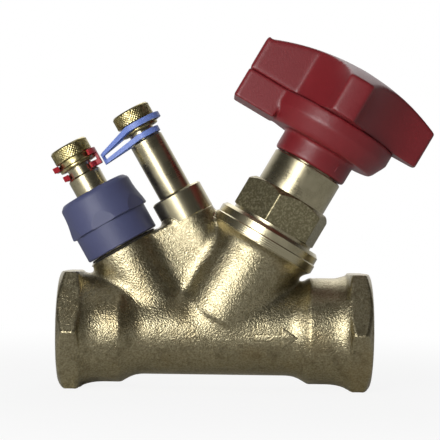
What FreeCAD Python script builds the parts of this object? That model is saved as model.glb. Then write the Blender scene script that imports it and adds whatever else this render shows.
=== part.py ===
# Circuit balancing valve of oblique pattern: cast body, leaning stem with a digital handwheel,
# two measuring nipples with tethered caps, and a capped drain. Millimetres, +X towards the outlet,
# +Z up, origin at the centre of the inlet mouth.
import FreeCAD, Part
import math
import os
import re

import Sketcher
from FreeCAD import Placement, Rotation, Vector

doc = FreeCAD.newDocument("BalancingValve")

# Driving dimensions. Levels on the stem and nipple axes are counted from the pipe's axis.
driving = [
    # pipe run
    ("faceToFace", "110", "inlet face to outlet face"),
    ("hexAcross", "41", "spanner flats of both ends"),
    ("hexLength", "8.5", "length of each end hexagon"),
    ("hexFaceRadius", "19.2", "turned face of each end"),
    ("hexChamferLength", "2.4", "chamfer of the hexagon's corners, along the pipe"),
    ("hexRootRadius", "20", "cone where it leaves the hexagon"),
    ("hexConeLength", "4", "cone between hexagon and collar"),
    ("collarRadius", "18.9", "round collar behind each hexagon"),
    ("collarLength", "9.5", "its length"),
    ("taperLength", "5", "taper from collar to barrel"),
    ("barrelRadius", "16", "barrel in the middle"),
    ("portRadius", "16.62", "major radius of the G1 thread"),
    ("portDepth", "17", "thread depth"),
    ("waterwayRadius", "13", "waterway"),
    # stem boss
    ("stemOffset", "1.25", "stem's axis and the nipples' middle, short of the middle of the pipe run"),
    ("stemLean", "30", "stem leans towards the outlet, degrees"),
    ("bossRadius", "17.5", "stem boss"),
    ("bossFoot", "2.5", "where the boss starts on the stem axis"),
    ("bossFootRound", "4", "rounding of its foot"),
    ("bossTop", "32.7", "end of the cast boss"),
    ("bandHeight", "2.3", "hollow band between boss and machined collar"),
    ("rimRadius", "19.9", "machined collar under the bonnet"),
    ("rimHeight", "3.3", "its height"),
    ("chamberMargin", "0.3", "valve chamber is this much wider than the waterway"),
    ("seatBore", "10.5", "radius through the seat"),
    ("seatLand", "1.7", "width of the seat's face"),
    ("seatRise", "1", "seat above the chamber floor"),
    ("partitionWall", "3", "wall between inlet and outlet"),
    # measuring and drain bosses
    ("nippleLean", "30", "nipples lean towards the inlet, degrees"),
    ("nippleSpread", "29.2", "between the two nipple axes, along the pipe"),
    ("testBossRadius", "9.4", "boss of the outlet nipple"),
    ("testBossTop", "55.9", "its top"),
    ("testBossChamfer", "0.8", "its edge"),
    ("drainBossRadius", "13.3", "boss of the drain"),
    ("drainBossTop", "34.3", "its top"),
    ("drainBossChamfer", "1.2", "its bright bevel"),
    ("webThickness", "17", "web between the bosses"),
    ("webDrop", "1.2", "web's top below the drain boss's top"),
    ("pressureTapRadius", "2", "pressure tapping below the outlet nipple"),
    ("drainBoreRadius", "2.5", "drain bore below the adapter"),
    # bonnet
    ("bonnetPlugRadius", "15.2", "bonnet's threaded plug in the body"),
    ("bonnetPlugLength", "10.3", "its length"),
    ("threadGap", "0.1", "between screwed or pressed pieces"),
    ("gasketWidth", "1.7", "bonnet gasket, radially"),
    ("gasketHeight", "0.8", "its thickness"),
    ("flangeRadius", "19.5", "bonnet's round flange"),
    ("flangeHeight", "3.7", "its height"),
    ("flangeChamfer", "1.2", "chamfer of its upper edge"),
    ("grooveRadius", "15.4", "groove above the flange"),
    ("grooveHeight", "1.1", "its height"),
    ("bonnetAcross", "29.5", "bonnet's spanner flats"),
    ("bonnetHexHeight", "12.2", "bonnet's hexagon"),
    ("bonnetHexTurn", "16.4", "its turn about the stem, degrees"),
    ("bonnetChamfer", "2", "chamfer along the stem at its corners"),
    ("neckRadius", "13.1", "bonnet's neck"),
    ("neckHeight", "12", "its height up to the step inside the handwheel"),
    ("spigotRadius", "10.4", "spigot inside the handwheel's collar"),
    ("spigotHeight", "6.4", "its height"),
    # stem parts
    ("runGap", "0.3", "between pieces that move on each other"),
    ("guideAcross", "18", "hexagon of the cone's sleeve"),
    ("lift", "8", "cone's travel"),
    ("coneHeadRadius", "12.4", "cone's head"),
    ("coneHeadHeight", "4.2", "its height"),
    ("coneBoreFloor", "8", "floor of the cone's thread bore when closed"),
    ("sealHeight", "1.75", "seal ring"),
    ("sealBore", "8.6", "its inner radius"),
    ("seatGap", "0.05", "seal above the seat at rest"),
    ("plugGap", "0.4", "throttle plug inside the seat"),
    ("plugLength", "6.5", "throttle plug below the seat"),
    ("plugNoseRadius", "6.6", "radius of its nose"),
    ("spindleRadius", "5", "spindle"),
    ("spindleThread", "4.6", "its threaded part"),
    ("spindleCollarRadius", "7.9", "its thrust collar"),
    ("spindleCollarHeight", "4.4", "height of the thrust collar"),
    ("retainerHeight", "1.4", "ring under the thrust collar"),
    ("retainerTop", "44", "its top"),
    ("sealPitch", "6", "between the two spindle seals"),
    ("sealLow", "58", "lower spindle seal"),
    ("sealCord", "0.7", "radius of the seal's cord"),
    ("sealGrooveRadius", "3.6", "root of its groove"),
    ("sealGrooveHeight", "2", "height of its groove"),
    ("driveRadius", "4", "spindle's end in the handwheel's hub"),
    ("driveFoot", "79", "where that end starts"),
    ("driveTop", "99", "where it ends"),
    ("limitRadius", "1.5", "presetting rod inside the spindle"),
    # handwheel
    ("wheelGap", "0.5", "handwheel above the bonnet's neck"),
    ("wheelCollarRadius", "13.8", "handwheel's collar"),
    ("wheelCollarHeight", "7.5", "its height"),
    ("discRadius", "23.6", "disc under the wings"),
    ("discHeight", "11", "its height, up to the seam"),
    ("discTaper", "2.6", "its lower edge, radially"),
    ("discTaperHeight", "6", "and along the stem"),
    ("wheelWall", "2.4", "walls of the handwheel's base"),
    ("wingReach", "32.6", "radius at the wings' tips"),
    ("wingThickness", "8.8", "wing at its tip"),
    ("waistRadius", "20.4", "between the wings"),
    ("wingHeight", "13.8", "seam to the rim of the dome"),
    ("domeRise", "6.3", "dome above its rim"),
    ("wingRound", "1.1", "rounding of the wings' upright edges"),
    ("blockReach", "35.7", "outer end of the display block"),
    ("blockWidth", "24", "display block"),
    ("blockStart", "14", "where the block starts"),
    ("blockRound", "1.4", "rounding of its upright edges"),
    ("blockEdge", "1.4", "slope on its upper outer edge"),
    ("hubRadius", "6.2", "handwheel's hub"),
    ("hubFoot", "79", "lower end of the hub"),
    ("ringRadius", "17.6", "both number rings"),
    ("ringRim", "1.8", "their rims"),
    ("ringWeb", "2", "their webs"),
    ("ringHeight", "5", "each rim along the stem"),
    ("ringRise", "1.2", "tenths ring above the seam"),
    ("sleeveWall", "2", "tenths ring's sleeve"),
    ("lensWidth", "9", "display lens"),
    ("lensMargin", "0.7", "lens below and above the number rings"),
    ("screwShank", "1.9", "handwheel screw"),
    ("screwLength", "8", "its length below the head"),
    ("screwHeadRadius", "4.4", "its head"),
    ("screwHeadHeight", "2", "height of its head"),
    ("capDiscRadius", "7", "round disc on top"),
    ("capDiscHeight", "1.6", "its thickness"),
    # measuring nipples
    ("nippleRadius", "6.1", "nipple's body"),
    ("nippleRootRadius", "4.9", "its threaded root"),
    ("nippleRootLength", "9.8", "length of that root"),
    ("nippleBore", "1.6", "bore through the nipple"),
    ("outletNippleHeight", "22.1", "outlet nipple, shoulder to neck"),
    ("inletNippleHeight", "13.3", "inlet nipple, shoulder to neck"),
    ("neckGroove", "4.6", "radius of the nipple's neck"),
    ("neckGrooveHeight", "3.3", "its height"),
    ("tipRadius", "5.2", "nipple's thread under the cap"),
    ("tipHeight", "5.1", "its height"),
    ("coreRadius", "3", "rubber core"),
    ("coreHeight", "7", "its height"),
    ("capGasketHeight", "1", "disc in the cap"),
    ("capSeatGap", "0.05", "disc above the nipple's end"),
    ("capFlangeRadius", "6.9", "flange at the cap's foot"),
    ("capFlangeHeight", "1.4", "its height"),
    ("capGrooveRadius", "6.1", "cap between flange and head"),
    ("capGrooveHeight", "2", "its height"),
    ("capHeadRadius", "7.1", "knurled head"),
    ("capHeadHeight", "4.8", "its height"),
    ("capEdge", "0.6", "chamfer of the head"),
    # drain
    ("adapterRootRadius", "9.5", "drain adapter's root in the body"),
    ("adapterRootLength", "12", "its length"),
    ("adapterRadius", "10.48", "its outer thread"),
    ("adapterHeight", "15.7", "its height above the boss"),
    ("drainGasketHeight", "1.5", "ring in the drain cap"),
    ("drainCapBase", "13.55", "lower part of the drain cap"),
    ("drainCapBaseHeight", "9.2", "its height"),
    ("drainCapShoulder", "14.75", "drain cap above that"),
    ("drainCapTop", "13.2", "drain cap's top edge"),
    ("drainCapHeight", "21.9", "whole cap"),
    ("drainCapEdge", "1.4", "chamfer of its top"),
    ("drainCapAcross", "28", "its six flats"),
    ("drainCapTurn", "-6", "its turn about the nipple, degrees"),
    ("drainCapWall", "4.9", "its top wall"),
    # straps
    ("strapWidth", "2", "strap along the nipple"),
    ("strapThickness", "1.1", "strap's thickness"),
    ("strapPitch", "4.3", "between a strap's two rings"),
    ("neckRingRadius", "5.2", "ring in the nipple's neck"),
    ("capRingRadius", "7.7", "blue ring round the cap's groove"),
    ("clipRingRadius", "7", "red ring round the cap's groove"),
    ("strapReach", "16.7", "blue strap's far end from its nipple"),
    ("noseRadius", "1.9", "radius of that end"),
    ("clipStart", "-45", "where the red rings start, degrees from the outlet side"),
    ("clipEnd", "205", "where they end"),
    ("clipEarHeight", "1.4", "flare of their ends"),
    ("bridgeAngle", "40", "half the blue strap's bridge, degrees"),
    ("clipBridgeAngle", "13", "half the red strap's bridge, degrees"),
]

# Levels and radii that follow from them.
derived = [
    ("stemCrossing", "faceToFace / 2 - stemOffset"),
    ("inletCrossing", "stemCrossing - nippleSpread / 2"),
    ("outletCrossing", "stemCrossing + nippleSpread / 2"),
    ("hexCorner", "hexAcross / sqrt(3)"),
    ("collarStart", "hexLength + hexConeLength"),
    ("collarEnd", "hexLength + hexConeLength + collarLength"),
    ("barrelStart", "hexLength + hexConeLength + collarLength + taperLength"),
    ("chamberRadius", "waterwayRadius + chamberMargin"),
    ("rimFoot", "bossTop + bandHeight"),
    ("bodyTop", "bossTop + bandHeight + rimHeight"),
    ("plugFoot", "bodyTop - bonnetPlugLength"),
    ("gasketRadius", "bonnetPlugRadius + threadGap + gasketWidth"),
    ("flangeTop", "bodyTop + flangeHeight"),
    ("bonnetHexFoot", "flangeTop + grooveHeight"),
    ("bonnetHexTop", "bonnetHexFoot + bonnetHexHeight"),
    ("bonnetCorner", "bonnetAcross / sqrt(3)"),
    ("neckTop", "bonnetHexTop + neckHeight"),
    ("spigotTop", "neckTop + spigotHeight"),
    ("guideBore", "guideAcross + 2 * runGap"),
    ("shoulderLevel", "retainerTop + 2 * runGap + spindleCollarHeight"),
    ("retainerFoot", "retainerTop - retainerHeight"),
    ("sleeveTop", "retainerFoot - lift - 2 * runGap"),
    ("spindleFoot", "coneBoreFloor + lift + 1"),
    ("sealTop", "seatGap + sealHeight"),
    ("coneHeadTop", "sealTop + coneHeadHeight"),
    ("plugRadius", "seatBore - plugGap"),
    ("wheelFoot", "neckTop + wheelGap"),
    ("discFoot", "wheelFoot + wheelCollarHeight"),
    ("seam", "discFoot + discHeight"),
    ("wheelRim", "seam + wingHeight"),
    ("domeRadius", "(wingReach ^ 2 + domeRise ^ 2) / (2 * domeRise)"),
    ("domeTop", "wheelRim + domeRise"),
    ("ringFoot", "seam + ringRise"),
    ("tenthsTop", "ringFoot + ringHeight"),
    ("turnsFoot", "tenthsTop + runGap"),
    ("turnsTop", "turnsFoot + ringHeight"),
    ("wheelCeiling", "turnsTop + runGap"),
    ("wheelCavity", "ringRadius + runGap + 0.2"),
    ("capDiscFoot", "domeTop - capDiscHeight"),
    ("outletNeck", "testBossTop + outletNippleHeight"),
    ("outletTip", "outletNeck + neckGrooveHeight"),
    ("adapterTop", "drainBossTop + adapterHeight"),
    ("inletNeck", "adapterTop + inletNippleHeight"),
    ("inletTip", "inletNeck + neckGrooveHeight"),
    ("drainCapFoot", "drainBossTop + runGap"),
    ("drainCapCrown", "drainCapFoot + drainCapHeight"),
    ("drainCapCeiling", "drainCapCrown - drainCapWall"),
]

home = {}


def fill(name, rows):
    sheet = doc.addObject("Spreadsheet::Sheet", name)
    for row, (alias, content, note) in enumerate(rows, 1):
        sheet.set(f"A{row}", note)
        sheet.set(f"B{row}", content)
        sheet.setAlias(f"B{row}", alias)
        home[alias] = f"{name}.{alias}"
    return sheet


def bound(text):
    return re.sub(r"[A-Za-z]\w*", lambda word: home.get(word.group(), word.group()), text)


dims = fill("Dims", driving)
levels = [(alias, "=" + text, text) for alias, text in derived]
for alias, text in derived:
    home[alias] = f"Levels.{alias}"
fill("Levels", [(alias, bound(content), note) for alias, content, note in levels])
doc.recompute()


def amount(text):
    return float(dims.evalExpression(bound(text)))


# The four axes that pieces are built on: where each crosses the pipe's axis, and its lean from +Z.
axes = {
    "pipe": ("0", "90"),
    "stem": ("stemCrossing", "stemLean"),
    "inlet": ("inletCrossing", "-nippleLean"),
    "outlet": ("outletCrossing", "-nippleLean"),
}


def place(thing, axis):
    crossing, lean = axes[axis]
    thing.Placement = Placement(Vector(amount(crossing), 0, 0), Rotation(Vector(0, 1, 0), 1))
    thing.setExpression("Placement.Base.x", bound(crossing))
    thing.setExpression("Placement.Rotation.Angle", bound(lean))
    return thing


def body_on(axis, label):
    body = doc.addObject("PartDesign::Body", label)
    body.Label = label
    return place(body, axis)


def origin_plane(body, role):
    return next(plane for plane in body.Origin.OriginFeatures if plane.Role == role)


def arc_between(start, end, radius, side):
    middle = (start + end) / 2
    along = end - start
    across = Vector(-along.y, along.x, 0).normalize()
    centre = middle + across * (side * math.sqrt(radius ** 2 - (along.Length / 2) ** 2))
    first, last = (start, end) if side > 0 else (end, start)
    angles = [math.atan2(point.y - centre.y, point.x - centre.x) for point in (first, last)]
    return Part.ArcOfCircle(Part.Circle(centre, Vector(0, 0, 1), radius), *angles)


# A closed outline in a sketch. Each corner is (x, y), or (x, y, radius, side) where an arc leaves it:
# side is 1 for an arc that turns left and -1 for one that turns right.
def draw(body, name, outline, role="XZ_Plane", level="0", sketch=None):
    if sketch is None:
        sketch = body.newObject("Sketcher::SketchObject", name)
        sketch.AttachmentSupport = [(origin_plane(body, role), "")]
        sketch.MapMode = "FlatFace"
        sketch.setExpression("AttachmentOffset.Base.z", bound(level))
    corners = [Vector(amount(corner[0]), amount(corner[1]), 0) for corner in outline]
    first = sketch.GeometryCount
    tails, heads = [], []
    for index, corner in enumerate(outline):
        start, end = corners[index], corners[(index + 1) % len(corners)]
        leftward = len(corner) == 2 or corner[3] > 0
        tails.append(1 if leftward else 2)
        heads.append(2 if leftward else 1)
        if len(corner) == 2:
            sketch.addGeometry(Part.LineSegment(start, end), False)
        else:
            sketch.addGeometry(arc_between(start, end, amount(corner[2]), corner[3]), False)
    for index, corner in enumerate(outline):
        edge, tail = first + index, tails[index]
        before = (index - 1) % len(outline)
        sketch.addConstraint(Sketcher.Constraint("Coincident", first + before, heads[before], edge, tail))
        pin(sketch, edge, tail, "DistanceX", corner[0], corners[index].x, -2)
        pin(sketch, edge, tail, "DistanceY", corner[1], corners[index].y, -1)
        if len(corner) > 2:
            number = sketch.addConstraint(Sketcher.Constraint("Radius", edge, amount(corner[2])))
            sketch.setExpression(f"Constraints[{number}]", bound(corner[2]))
    return sketch


def pin(sketch, edge, end, kind, text, value, sketch_axis):
    if text == "0":
        sketch.addConstraint(Sketcher.Constraint("PointOnObject", edge, end, sketch_axis))
        return
    number = sketch.addConstraint(Sketcher.Constraint(kind, -1, 1, edge, end, value))
    sketch.setExpression(f"Constraints[{number}]", bound(text))


def draw_circle(body, name, across, up, radius, role="XY_Plane", level="0"):
    sketch = draw(body, name, [], role, level)
    centre = Vector(amount(across), amount(up), 0)
    sketch.addGeometry(Part.Circle(centre, Vector(0, 0, 1), amount(radius)), False)
    pin(sketch, 0, 3, "DistanceX", across, centre.x, -2)
    pin(sketch, 0, 3, "DistanceY", up, centre.y, -1)
    number = sketch.addConstraint(Sketcher.Constraint("Radius", 0, amount(radius)))
    sketch.setExpression(f"Constraints[{number}]", bound(radius))
    return sketch


# Outlines of turned pieces are (radius, level) corners.
def turn(body, name, outline, kind="Revolution"):
    return spin(body, name, draw(body, name + "Sketch", outline), kind)


def spin(body, name, sketch, kind="Revolution"):
    feature = body.newObject(f"PartDesign::{kind}", name)
    feature.Profile = sketch
    feature.ReferenceAxis = (sketch, ["V_Axis"])
    feature.Angle = 360
    return feature


def turned(label, axis, outline):
    body = body_on(axis, label)
    turn(body, label + "Turning", outline)
    return body


def washer(label, axis, inner, outer, low, high):
    return turned(label, axis, [(inner, low), (outer, low), (outer, high), (inner, high)])


def bar(label, axis, radius, low, high):
    return washer(label, axis, "0", radius, low, high)


def extrude(body, name, sketch, length, kind="Pad", symmetric=False, backward=False):
    feature = body.newObject(f"PartDesign::{kind}", name)
    feature.Profile = sketch
    feature.SideType = "Symmetric" if symmetric else "One side"
    feature.Reversed = backward
    feature.setExpression("Length", bound(length))
    return feature


def hexagon(across, spin):
    corner = f"({across}) / sqrt(3)"
    turns = [f"({60 * side} + {spin})" for side in range(6)]
    return [(f"{corner} * cos{angle}", f"{corner} * sin{angle}") for angle in turns]


def hex_bar(label, axis, across, low, high, spin):
    body = body_on(axis, label)
    sketch = draw(body, label + "Sketch", hexagon(across, spin), "XY_Plane", low)
    extrude(body, label + "Pad", sketch, f"{high} - ({low})")
    return body


def join(kind, label, things, tool=None):
    result = doc.addObject(f"Part::{kind}", label)
    result.Label = label
    if tool is None:
        result.Shapes = things
    else:
        result.Base, result.Tool = things, tool
    return result


# Cast body: pipe run, hexagons, bosses and web, less the hollows.
def end_hexagon(name, face, inward):
    def along(distance):
        return f"{face} {inward} ({distance})"

    inner = along("hexLength")
    low, high = (face, inner) if inward == "+" else (inner, face)
    prism = hex_bar(name + "Prism", "pipe", "hexAcross", low, high, "30")
    outline = [("0", face), ("hexFaceRadius", face), ("hexCorner", along("hexChamferLength")),
               ("hexCorner", along("hexLength - hexChamferLength / 2")),
               ("hexRootRadius", inner), ("0", inner)]
    envelope = turned(name + "Envelope", "pipe", outline)
    return join("MultiCommon", name, [prism, envelope])


def half_drum(name, low, high, side):
    body = body_on("stem", name)
    radius = "chamberRadius + partitionWall"
    outline = [("0", f"-({radius})", radius, side), (f"{side} * ({radius})", "0", radius, side), ("0", radius)]
    sketch = draw(body, name + "Sketch", outline, "XY_Plane", low)
    extrude(body, name + "Pad", sketch, f"{high} - ({low})")
    return body


def build_casting():
    run = turned("pipeRun", "pipe", [
        ("0", "hexLength / 2"), ("hexRootRadius - 1", "hexLength / 2"), ("hexRootRadius - 1", "hexLength"),
        ("hexRootRadius", "hexLength"), ("collarRadius", "collarStart"), ("collarRadius", "collarEnd"),
        ("barrelRadius", "barrelStart"), ("barrelRadius", "faceToFace - barrelStart"),
        ("collarRadius", "faceToFace - collarEnd"), ("collarRadius", "faceToFace - collarStart"),
        ("hexRootRadius", "faceToFace - hexLength"), ("hexRootRadius - 1", "faceToFace - hexLength"),
        ("hexRootRadius - 1", "faceToFace - hexLength / 2"), ("0", "faceToFace - hexLength / 2")])
    stem_boss = turned("stemBoss", "stem", [
        ("0", "bossFoot"), ("bossRadius - bossFootRound", "bossFoot", "bossFootRound", 1),
        ("bossRadius", "bossFoot + bossFootRound"),
        ("bossRadius", "bossTop - 2"), ("bossRadius - 0.5", "bossTop"), ("bossRadius - 0.5", "bossTop + 0.3"),
        ("rimRadius", "rimFoot"), ("rimRadius", "bodyTop"), ("0", "bodyTop")])
    test_boss = turned("testBoss", "outlet", [
        ("0", "0"), ("testBossRadius", "0"), ("testBossRadius", "testBossTop - testBossChamfer"),
        ("testBossRadius - testBossChamfer", "testBossTop"), ("0", "testBossTop")])
    drain_boss = turned("drainBoss", "inlet", [
        ("0", "0"), ("drainBossRadius", "0"), ("drainBossRadius", "drainBossTop - drainBossChamfer"),
        ("drainBossRadius - drainBossChamfer", "drainBossTop"), ("0", "drainBossTop")])
    web = body_on("inlet", "web")
    across = "nippleSpread * cos(nippleLean)"
    web_top = "drainBossTop - webDrop"
    sketch = draw(web, "webSketch", [("0", "5"), (across, "-10"), (across, web_top), ("0", web_top)])
    extrude(web, "webPad", sketch, "webThickness", symmetric=True)
    hexagons = [end_hexagon("inletHexagon", "0", "+"), end_hexagon("outletHexagon", "faceToFace", "-")]
    return join("MultiFuse", "casting", [run, stem_boss, test_boss, drain_boss, web, *hexagons])


def build_hollow():
    floor = "-seatRise"
    waterway = bar("waterway", "pipe", "waterwayRadius", "portDepth", "faceToFace - portDepth")
    seat_disc = bar("seatDisc", "stem", "chamberRadius + partitionWall", f"{floor} - partitionWall", floor)
    inlet_wall = half_drum("inletWall", floor, "bossTop", 1)
    outlet_drum = half_drum("outletDrum", "-bossTop", floor, -1)
    outlet_bore = bar("outletBore", "stem", "chamberRadius", "-bossTop - 1", "0")
    outlet_wall = join("Cut", "outletWall", outlet_drum, outlet_bore)
    partition = join("MultiFuse", "partition", [seat_disc, inlet_wall, outlet_wall])
    passages = join("Cut", "passages", waterway, partition)
    chamber = turned("chamber", "stem", [
        ("0", floor), ("seatBore", floor), ("seatBore", "0"), ("seatBore + seatLand", "0"),
        ("seatBore + seatLand", floor), ("chamberRadius", floor), ("chamberRadius", "plugFoot - 1"),
        ("bonnetPlugRadius + threadGap", "plugFoot"), ("bonnetPlugRadius + threadGap", "bodyTop - gasketHeight"),
        ("gasketRadius + threadGap", "bodyTop - gasketHeight"), ("gasketRadius + threadGap", "bodyTop"),
        ("0", "bodyTop")])
    seat = bar("seatHole", "stem", "seatBore", f"{floor} - partitionWall", floor)
    ports = [bar("inletPort", "pipe", "portRadius", "0", "portDepth"),
             bar("outletPort", "pipe", "portRadius", "faceToFace - portDepth", "faceToFace")]
    tapping = turned("tapping", "outlet", [
        ("0", "(chamberRadius - 1) / sin(stemLean + nippleLean)"),
        ("pressureTapRadius", "(chamberRadius - 1) / sin(stemLean + nippleLean)"),
        ("pressureTapRadius", "testBossTop - nippleRootLength - 1"),
        ("nippleRootRadius + threadGap", "testBossTop - nippleRootLength - 1"),
        ("nippleRootRadius + threadGap", "testBossTop"), ("0", "testBossTop")])
    drain_bore = turned("drainBore", "inlet", [
        ("0", "waterwayRadius - 2"), ("drainBoreRadius", "waterwayRadius - 2"),
        ("drainBoreRadius", "drainBossTop - adapterRootLength - 0.5"),
        ("adapterRootRadius + threadGap", "drainBossTop - adapterRootLength - 0.5"),
        ("adapterRootRadius + threadGap", "drainBossTop"), ("0", "drainBossTop")])
    return join("MultiFuse", "hollow", [passages, chamber, seat, *ports, tapping, drain_bore])


def build_body():
    return join("Cut", "valve_body", build_casting(), build_hollow())


# Bonnet, spindle and cone on the stem axis.
def build_bonnet():
    lower = turned("bonnetLower", "stem", [
        ("0", "plugFoot"), ("bonnetPlugRadius", "plugFoot"), ("bonnetPlugRadius", "bodyTop"),
        ("flangeRadius", "bodyTop"), ("flangeRadius", "flangeTop - flangeChamfer"),
        ("flangeRadius - flangeChamfer", "flangeTop"), ("grooveRadius", "flangeTop"),
        ("grooveRadius", "bonnetHexFoot"), ("0", "bonnetHexFoot")])
    prism = hex_bar("bonnetPrism", "stem", "bonnetAcross", "bonnetHexFoot", "bonnetHexTop", "bonnetHexTurn")
    envelope = turned("bonnetEnvelope", "stem", [
        ("0", "bonnetHexFoot"), ("grooveRadius", "bonnetHexFoot"), ("bonnetCorner", "bonnetHexFoot + 0.4"),
        ("bonnetCorner", "bonnetHexTop - bonnetChamfer"), ("bonnetAcross / 2 - 0.4", "bonnetHexTop"),
        ("0", "bonnetHexTop")])
    hexagon_part = join("MultiCommon", "bonnetHexagon", [prism, envelope])
    neck = turned("bonnetNeck", "stem", [
        ("0", "bonnetHexTop"), ("neckRadius", "bonnetHexTop"), ("neckRadius", "neckTop - 0.4"),
        ("neckRadius - 0.4", "neckTop"), ("spigotRadius", "neckTop"), ("spigotRadius", "spigotTop"),
        ("0", "spigotTop")])
    outside = join("MultiFuse", "bonnetOutside", [lower, hexagon_part, neck])
    guide = hex_bar("guideBore", "stem", "guideBore", "plugFoot", "retainerTop", "bonnetHexTurn")
    bore = turned("bonnetBore", "stem", [
        ("0", "retainerTop"), ("spindleCollarRadius + runGap", "retainerTop"),
        ("spindleCollarRadius + runGap", "shoulderLevel"), ("spindleRadius + runGap", "shoulderLevel"),
        ("spindleRadius + runGap", "spigotTop"), ("0", "spigotTop")])
    inside = join("MultiFuse", "bonnetInside", [guide, bore])
    join("Cut", "bonnet", outside, inside)
    washer("bonnet_gasket", "stem", "bonnetPlugRadius + threadGap", "gasketRadius",
           "bodyTop - gasketHeight", "bodyTop")


def build_spindle():
    def groove(level):
        low, high = f"{level} - sealGrooveHeight / 2", f"{level} + sealGrooveHeight / 2"
        return [("spindleRadius", low), ("sealGrooveRadius", low), ("sealGrooveRadius", high),
                ("spindleRadius", high)]

    rod = "limitRadius + threadGap"
    collar_foot = "retainerTop + runGap"
    turned("spindle", "stem", [
        (rod, "spindleFoot"), ("spindleThread - 0.6", "spindleFoot"), ("spindleThread", "spindleFoot + 0.6"),
        ("spindleThread", collar_foot), ("spindleCollarRadius", collar_foot),
        ("spindleCollarRadius", "shoulderLevel - runGap"), ("spindleRadius", "shoulderLevel - runGap"),
        *groove("sealLow"), *groove("sealLow + sealPitch"),
        ("spindleRadius", "driveFoot - runGap"), ("driveRadius", "driveFoot - runGap"),
        ("driveRadius", "driveTop"), ("screwShank + threadGap", "driveTop"),
        ("screwShank + threadGap", "driveTop - screwLength"), (rod, "driveTop - screwLength")])
    bar("limit_screw", "stem", "limitRadius", "spindleFoot - 0.3", "driveTop - screwLength - 0.3")
    rings = []
    for name, level in (("lowerSeal", "sealLow"), ("upperSeal", "sealLow + sealPitch")):
        ring = body_on("stem", name)
        centre = "sealGrooveRadius + threadGap + sealCord"
        spin(ring, name + "Turning", draw_circle(ring, name + "Sketch", centre, level, "sealCord", "XZ_Plane"))
        rings.append(ring)
    seals = doc.addObject("Part::Compound", "spindle_o_rings")
    seals.Label = "spindle_o_rings"
    seals.Links = rings
    washer("spindle_retainer", "stem", "spindleThread + runGap", "guideBore / 2 - threadGap",
           "retainerFoot", "retainerTop")


def build_cone():
    head = turned("coneHead", "stem", [
        ("0", "sealTop"), ("coneHeadRadius - 0.3", "sealTop"), ("coneHeadRadius", "sealTop + 0.3"),
        ("coneHeadRadius", "coneHeadTop - 1"), ("coneHeadRadius - 1", "coneHeadTop"), ("0", "coneHeadTop")])
    sleeve = hex_bar("coneSleeve", "stem", "guideAcross", "coneHeadTop", "sleeveTop", "bonnetHexTurn")
    solid = join("MultiFuse", "coneSolid", [head, sleeve])
    bore = bar("coneBore", "stem", "spindleThread + runGap", "coneBoreFloor", "sleeveTop")
    join("Cut", "cone", solid, bore)
    washer("cone_seal", "stem", "sealBore", "seatBore + seatLand - 0.1", "seatGap", "sealTop")
    turned("throttle_plug", "stem", [
        ("0", "-plugLength"), ("plugNoseRadius - 1", "-plugLength"), ("plugNoseRadius", "1 - plugLength", "plugLength * 2", -1),
        ("plugRadius", "-1.2"), ("plugRadius", "seatGap"), ("sealBore - threadGap", "seatGap"),
        ("sealBore - threadGap", "sealTop"), ("0", "sealTop")])


# Handwheel: base and cover, number rings, lens and screw.
def wing_scallop_centre():
    half = "wingThickness / 2"
    root = "sqrt(2)"
    return (f"(wingReach ^ 2 + ({half}) ^ 2 - waistRadius ^ 2)"
            f" / (2 * (wingReach + {half} - {root} * waistRadius))")


def rectangle(left, right, low, high):
    return [(left, low), (right, low), (right, high), (left, high)]


# Rounds the edges that run along the stem between two distances from it.
def round_uprights(body, name, radius, nearest, farthest):
    doc.recompute()
    base = body.Tip
    chosen = []
    for number, edge in enumerate(base.Shape.Edges, 1):
        ends = [vertex.Point for vertex in edge.Vertexes]
        upright = len(ends) == 2 and (ends[0] - ends[1]).cross(Vector(0, 0, 1)).Length < 0.001
        distance = math.hypot(ends[0].x, ends[0].y)
        if upright and amount(nearest) < distance < amount(farthest):
            chosen.append(f"Edge{number}")
    fillet = body.newObject("PartDesign::Fillet", name)
    fillet.Base = (base, chosen)
    fillet.setExpression("Radius", bound(radius))
    return fillet


def build_wheel_base():
    body = body_on("stem", "wheel_base")
    turn(body, "baseShell", [
        ("spigotRadius + runGap", "wheelFoot"), ("wheelCollarRadius - 0.5", "wheelFoot"),
        ("wheelCollarRadius", "wheelFoot + 0.5"), ("wheelCollarRadius", "discFoot"),
        ("discRadius - discTaper - 1", "discFoot"), ("discRadius - discTaper", "discFoot + 1"),
        ("discRadius", "discFoot + discTaperHeight"), ("discRadius", "seam"),
        ("discRadius - wheelWall", "seam"), ("discRadius - wheelWall", "discFoot + discTaperHeight"),
        ("discRadius - discTaper - wheelWall", "discFoot + wheelWall"),
        ("spigotRadius + runGap", "discFoot + wheelWall")])
    inner = "-sqrt((discRadius - 0.5) ^ 2 - (blockWidth / 2) ^ 2)"
    sketch = draw(body, "baseBlockSketch",
                  rectangle("-blockReach", inner, "-blockWidth / 2", "blockWidth / 2"), "XY_Plane", "discFoot")
    extrude(body, "baseBlock", sketch, "discHeight")
    round_uprights(body, "baseRounds", "blockRound", "blockReach", "blockReach + blockWidth")
    wall = "wheelWall"
    sketch = draw(body, "basePocketSketch",
                  rectangle(f"-blockReach + {wall}", "-discRadius + 0.3", f"-blockWidth / 2 + {wall}",
                            f"blockWidth / 2 - {wall}"), "XY_Plane", "seam")
    extrude(body, "basePocket", sketch, f"discHeight - {wall}", "Pocket")
    return body


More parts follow.
